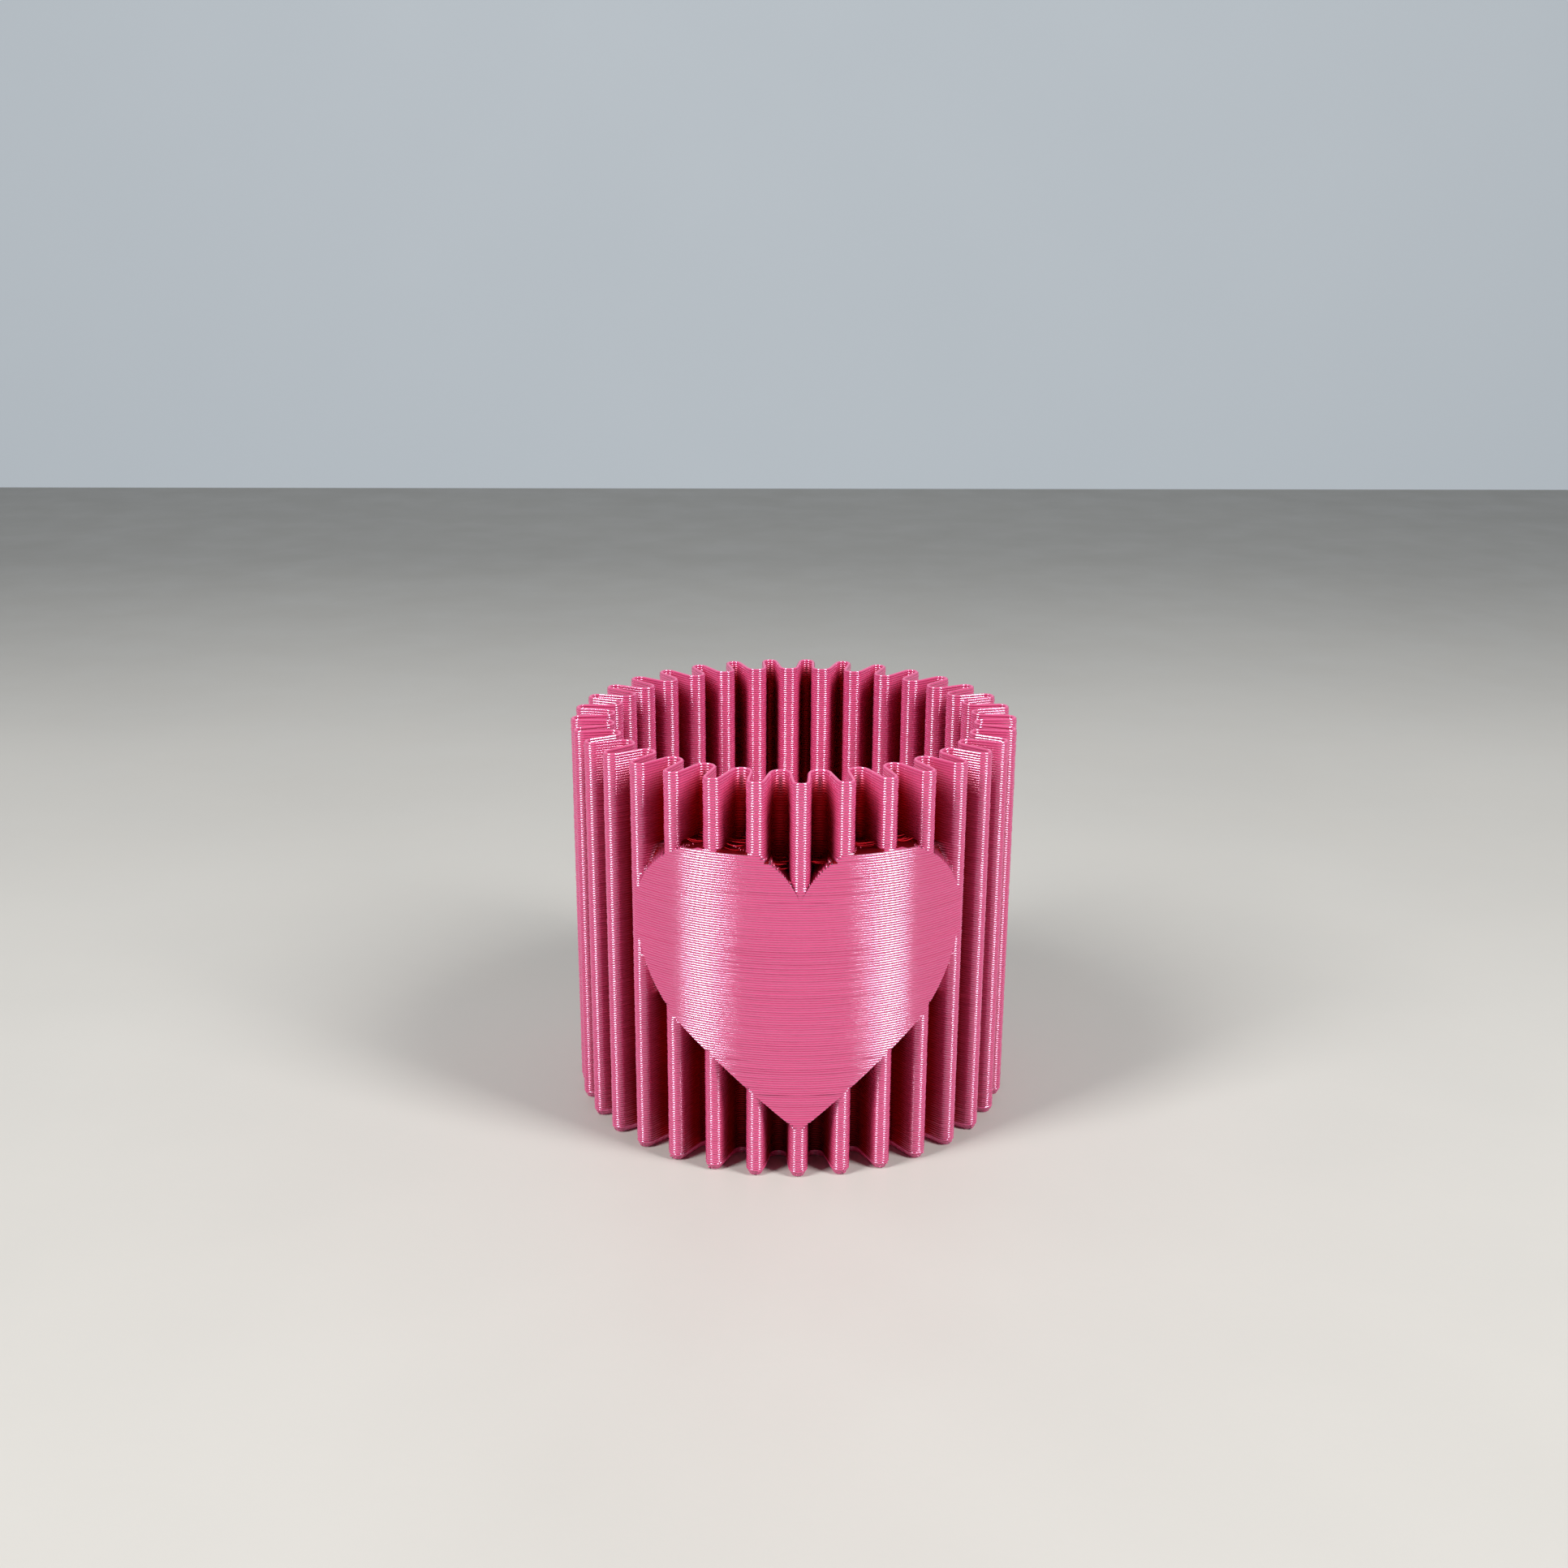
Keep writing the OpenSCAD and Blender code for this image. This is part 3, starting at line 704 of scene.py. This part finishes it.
class Graph:
    """A material with short calls for its nodes."""

    def __init__(self, name):
        self.material = bpy.data.materials.new(name)
        self.material.use_nodes = True
        self.tree = self.material.node_tree
        self.tree.nodes.clear()
        self.out = self.add("ShaderNodeOutputMaterial")
        self.shader = self.add("ShaderNodeBsdfPrincipled")
        self.join(self.shader.outputs[0], self.out.inputs["Surface"])
        self.place = self.add("ShaderNodeTexCoord").outputs["Object"]

    def add(self, kind, **values):
        node = self.tree.nodes.new(kind)
        for key, value in values.items():
            setattr(node, key, value)
        return node

    def join(self, a, b):
        self.tree.links.new(a, b)

    def set(self, **values):
        """Values of the shader's own sockets, their names with _ for a space."""
        for key, value in values.items():
            self.shader.inputs[key.replace("_", " ")].default_value = value

    def stretched(self, stretch):
        mapping = self.add("ShaderNodeMapping")
        mapping.inputs["Scale"].default_value = stretch
        self.join(self.place, mapping.inputs["Vector"])
        return mapping.outputs[0]

    def noise(self, scale, detail=3.0, stretch=(1, 1, 1)):
        node = self.add("ShaderNodeTexNoise")
        node.inputs["Scale"].default_value = scale
        node.inputs["Detail"].default_value = detail
        self.join(self.stretched(stretch), node.inputs["Vector"])
        return node.outputs["Fac"]

    def wave(self, scale, direction, stretch):
        node = self.add("ShaderNodeTexWave", bands_direction=direction)
        node.inputs["Scale"].default_value = scale
        self.join(self.stretched(stretch), node.inputs["Vector"])
        return node.outputs["Fac"]

    def ramp(self, source, stops):
        node = self.add("ShaderNodeValToRGB")
        while len(node.color_ramp.elements) < len(stops):
            node.color_ramp.elements.new(0.5)
        for element, (at, colour) in zip(node.color_ramp.elements, stops):
            element.position = at
            element.color = (*colour, 1.0)
        self.join(source, node.inputs["Fac"])
        return node.outputs["Color"]

    def add_up(self, a, b):
        node = self.add("ShaderNodeMath", operation="ADD")
        self.join(a, node.inputs[0])
        self.join(b, node.inputs[1])
        return node.outputs[0]

    def mix(self, share, a, b):
        node = self.add("ShaderNodeMix", data_type="RGBA")
        self.join(share, node.inputs[0])
        self.join(a, node.inputs[6])
        self.join(b, node.inputs[7])
        return node.outputs[2]

    def grey(self, source, low, high, at=(0.3, 0.7)):
        node = self.add("ShaderNodeMapRange")
        node.inputs["From Min"].default_value, node.inputs["From Max"].default_value = at
        node.inputs["To Min"].default_value, node.inputs["To Max"].default_value = low, high
        self.join(source, node.inputs["Value"])
        return node.outputs["Result"]

    def colour(self, source):
        self.join(source, self.shader.inputs["Base Color"])

    def rough(self, source):
        self.join(source, self.shader.inputs["Roughness"])

    def bump(self, source, distance, strength=1.0):
        node = self.add("ShaderNodeBump")
        node.inputs["Strength"].default_value = strength
        node.inputs["Distance"].default_value = distance
        self.join(source, node.inputs["Height"])
        self.join(node.outputs[0], self.shader.inputs["Normal"])


def silk_print(name="silk_pink_print", infill=False):
    """Pink silk filament with a strong sheen, and painted shade in the folds: the more fold shade a point
    has, the redder, darker and duller it is.
    """
    g = Graph(name)
    layers = g.noise(300, 2, stretch=(0.12, 0.12, 12))
    patches = g.noise(120, 3)
    # Painted shade: a lit copy of the pink, a shaded copy and a darker one for the bottom of the folds, mixed
    # by the fold shade.
    lit_skin = g.ramp(layers, [(0.3, (0.90, 0.104, 0.285)), (0.7, (0.94, 0.122, 0.325))])
    shaded_skin = g.ramp(layers, [(0.3, (0.47, 0.005, 0.013)), (0.7, (0.53, 0.007, 0.018))])
    darkest_shaded_skin = g.ramp(layers, [(0.3, (0.13, 0.001, 0.004)), (0.7, (0.17, 0.002, 0.005))])
    fold_shade = g.add("ShaderNodeAttribute", attribute_name="fold_shade").outputs["Fac"]
    shaded_skin = g.mix(g.ramp(fold_shade, [(0.80, (0, 0, 0)), (0.98, (1, 1, 1))]), shaded_skin, darkest_shaded_skin)
    g.colour(g.mix(g.ramp(fold_shade, [(0.10, (0, 0, 0)), (0.55, (1, 1, 1))]), lit_skin, shaded_skin))
    # Deeper painted fold shade also makes the material metallic, so its reflections come out red, and
    # rougher, so it glints less.
    g.join(g.grey(fold_shade, 0.08, 0.95, (0.15, 0.6)), g.shader.inputs["Metallic"])
    g.rough(g.add_up(g.grey(patches, 0.11, 0.15), g.grey(fold_shade, 0, 0.4, (0.15, 0.6))))
    g.set(Specular_IOR_Level=0.9, IOR=1.9, Specular_Tint=(0.45, 0.86, 1.0, 1.0))
    if infill:
        g.bump(g.wave(560, "DIAGONAL", (1, 1, 0)), 0.00006, 0.6)
    else:
        g.bump(g.noise(5200, 2), 0.000006, 0.5)
    return g.material


def plastic(name, low, high, rough, scale=900, bump=0.000012, **values):
    """Moulded plastic with a fine grain and a slightly uneven tone."""
    g = Graph(name)
    g.colour(g.ramp(g.noise(140, 4), [(0.3, low), (0.7, high)]))
    g.rough(g.grey(g.noise(scale * 0.7, 3), rough - 0.05, rough + 0.07))
    g.set(**values)
    g.bump(g.noise(scale * 4, 2), bump, 0.6)
    return g.material


def metal(name, low, high, rough, stretch=(1, 12, 1)):
    """Stamped or drawn metal with fine rolling lines and dull patches."""
    g = Graph(name)
    g.colour(g.ramp(g.noise(260, 4), [(0.3, low), (0.7, high)]))
    g.rough(g.grey(g.noise(500, 4, stretch), rough - 0.08, rough + 0.12))
    g.set(Metallic=1.0)
    g.bump(g.noise(3000, 2, stretch), 0.000008, 0.6)
    return g.material


def wax_white():
    """Wax-like plastic: warm white, a little translucent, softly dimpled."""
    g = Graph("wax_white")
    g.colour(g.ramp(g.noise(90, 4), [(0.3, (0.80, 0.74, 0.61)), (0.7, (0.86, 0.81, 0.70))]))
    g.rough(g.grey(g.noise(400, 3), 0.38, 0.52))
    g.set(Subsurface_Weight=0.25, Subsurface_Scale=0.002, Specular_IOR_Level=0.4)
    g.bump(g.noise(700, 4), 0.00004, 0.5)
    return g.material


def frosted():
    """Frosted translucent plastic, warm white."""
    g = Graph("frosted_flame")
    g.colour(g.ramp(g.noise(160, 3), [(0.3, (0.86, 0.79, 0.62)), (0.7, (0.92, 0.86, 0.72))]))
    g.rough(g.grey(g.noise(900, 3), 0.42, 0.58))
    g.set(Subsurface_Weight=0.5, Subsurface_Scale=0.003, Subsurface_Radius=(1.0, 0.8, 0.6),
          Specular_IOR_Level=0.4)
    g.bump(g.noise(2400, 2), 0.00002, 0.5)
    return g.material


def table_top():
    """A pale, slightly uneven table, with painted shade that darkens it towards the back, where the light
    falls off.
    """
    g = Graph("table_top")
    mottle = g.noise(14, 5)
    near = g.ramp(mottle, [(0.3, (0.56, 0.542, 0.507)), (0.7, (0.59, 0.572, 0.536))])
    far_shaded = g.ramp(mottle, [(0.3, (0.365, 0.353, 0.330)), (0.7, (0.385, 0.373, 0.348))])
    away = g.add("ShaderNodeSeparateXYZ")
    g.join(g.place, away.inputs["Vector"])
    # Painted shade: the table's colour goes over to the darker far colour towards the back.
    g.colour(g.mix(g.ramp(away.outputs["Y"], [(0.13, (0, 0, 0)), (0.31, (1, 1, 1))]), near, far_shaded))
    g.rough(g.grey(g.noise(60, 4), 0.45, 0.6))
    g.bump(g.noise(500, 4), 0.0001, 0.25)
    return g.material


def backdrop_paint():
    """A pale blue-grey wall with some light of its own, as a wall lit by the room has."""
    g = Graph("backdrop_paint")
    g.colour(g.ramp(g.noise(4, 3), [(0.3, (0.20, 0.22, 0.24)), (0.7, (0.22, 0.24, 0.26))]))
    g.rough(g.grey(g.noise(20, 3), 0.7, 0.9))
    g.set(Emission_Color=(0.80, 0.88, 0.95, 1.0), Emission_Strength=0.42)
    return g.material


SILK = silk_print()

# ---------------------------------------------------------------- the lantern

skin, back, face, marks = layered_wall()
on_heart = np.repeat(marks, 2, axis=0)
wall = shell_piece("printed_wall", skin, back, face, ~on_heart, SILK)
heart = shell_piece("heart_face", skin, back, face, on_heart, SILK)
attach(wall, "shade")
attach(heart, "shade")
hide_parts("pleated_wall")
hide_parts("heart_panel")

plate = floor_plate(silk_print("silk_pink_floor", infill=True))
# Painted shade: the sagging threads get a fold shade of 0.75, the hairs 0.35, the rib blobs none.
threads = joined("stray_threads", [(sagging_threads(), 0.75), (edge_hairs(), 0.35), (rib_blobs(), 0.0)], SILK)
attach(plate, "shade")
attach(threads, "shade")
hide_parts("base_plate")

cup = wax_cup(wax_white())
drop = flame(frosted())
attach(cup, "tealight")
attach(drop, "tealight")
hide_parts("candle_cup")
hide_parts("flame_tip")

# ---------------------------------------------------------------- materials of the kept CAD pieces

base_white = plastic("base_white", (0.74, 0.74, 0.71), (0.80, 0.80, 0.77), 0.45)
brass = metal("contact_brass", (0.62, 0.42, 0.16), (0.75, 0.54, 0.24), 0.3)
CAD_LOOKS = {
    "led_bulb": plastic("led_lens", (0.85, 0.80, 0.52), (0.90, 0.86, 0.62), 0.12, Transmission_Weight=0.6),
    "led_leads": metal("tinned_wire", (0.60, 0.60, 0.61), (0.72, 0.72, 0.73), 0.3, (1, 1, 12)),
    "chassis": base_white,
    "battery_door": base_white,
    "coin_cell": metal("cell_steel", (0.55, 0.56, 0.58), (0.66, 0.67, 0.69), 0.28),
    "negative_contact": brass,
    "positive_contact": brass,
    "anode_contact": brass,
    "switch_wiper": brass,
    "switch_slider": plastic("switch_black", (0.012, 0.012, 0.014), (0.022, 0.022, 0.025), 0.42),
    "door_screw": metal("screw_steel", (0.45, 0.46, 0.49), (0.58, 0.59, 0.62), 0.3),
}
for node, material in CAD_LOOKS.items():
    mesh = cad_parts[node].data
    mesh.materials.clear()
    mesh.materials.append(material)

# ---------------------------------------------------------------- stage, light and camera


TABLE_HALF = 1200
BACKDROP_Y = 432
BACKDROP_HALF = 1600
BACKDROP_LOW = -400
BACKDROP_TOP = 1400


def stage_floor():
    half = TABLE_HALF
    edge = [(-half, -half, 0), (half, -half, 0), (half, half, 0), (-half, half, 0)]
    return mesh_object("table", edge, [(0, 1, 2, 3)], table_top(), smooth=False)


def stage_wall():
    y, half, low, top = BACKDROP_Y, BACKDROP_HALF, BACKDROP_LOW, BACKDROP_TOP
    edge = [(-half, y, low), (half, y, low), (half, y, top), (-half, y, top)]
    return mesh_object("backdrop", edge, [(0, 1, 2, 3)], backdrop_paint(), smooth=False)


stage_floor()
stage_wall()

MIDDLE = Vector((0, 0, HEIGHT / 2))
LIGHT_TURN = 56.5                 # degrees from the heart's direction to each softbox
LIGHT_RISE = 47                   # degrees over the table
LIGHT_FAR = 450                   # from the lantern's middle
LIGHT_POWER = 1.66
LIGHT_TINT = (1.0, 0.995, 0.99)
SOFTBOX = (100, 260)
ROOM_COLOUR = (0.90, 0.93, 1.0, 1)
ROOM_STRENGTH = 0.03


def softbox(name, turn):
    """A soft light that far round from the heart's direction, aimed at the lantern."""
    a, e = math.radians(turn), math.radians(LIGHT_RISE)
    reach = LIGHT_FAR * math.cos(e)
    place = Vector((reach * math.sin(a), -reach * math.cos(a), MIDDLE.z + LIGHT_FAR * math.sin(e)))
    data = bpy.data.lights.new(name, "AREA")
    data.shape = "RECTANGLE"
    data.size, data.size_y = SOFTBOX[0] * MM, SOFTBOX[1] * MM
    data.energy = LIGHT_POWER
    data.color = LIGHT_TINT
    lamp = link(bpy.data.objects.new(name, data))
    lamp.location = place * MM
    lamp.rotation_euler = (MIDDLE - place).to_track_quat("-Z", "Y").to_euler()


softbox("left_softbox", -LIGHT_TURN)
softbox("right_softbox", LIGHT_TURN)

world = bpy.data.worlds.new("room")
world.use_nodes = True
background = world.node_tree.nodes["Background"]
background.inputs["Color"].default_value = ROOM_COLOUR
background.inputs["Strength"].default_value = ROOM_STRENGTH
bpy.context.scene.world = world
bpy.context.scene.view_settings.view_transform = "Standard"

CAMERA_PLACE = Vector((-6.39, -198.53, 102.0))
CAMERA_LENS = 42.19
CAMERA_SENSOR = 36.0
CAMERA_PITCH = 0.3197
CAMERA_HEADING = -0.0267
CAMERA_ROLL = 0.0059


def photo_camera():
    data = bpy.data.cameras.new("photo_camera")
    data.sensor_width = CAMERA_SENSOR
    data.lens = CAMERA_LENS
    data.clip_start = 0.01
    data.clip_end = 20
    cam = link(bpy.data.objects.new("photo_camera", data))
    turn = (Matrix.Rotation(CAMERA_HEADING, 4, "Z")
            @ Matrix.Rotation(math.pi / 2 - CAMERA_PITCH, 4, "X")
            @ Matrix.Rotation(CAMERA_ROLL, 4, "Z"))
    cam.matrix_world = Matrix.Translation(CAMERA_PLACE * MM) @ turn
    bpy.context.scene.camera = cam


photo_camera()
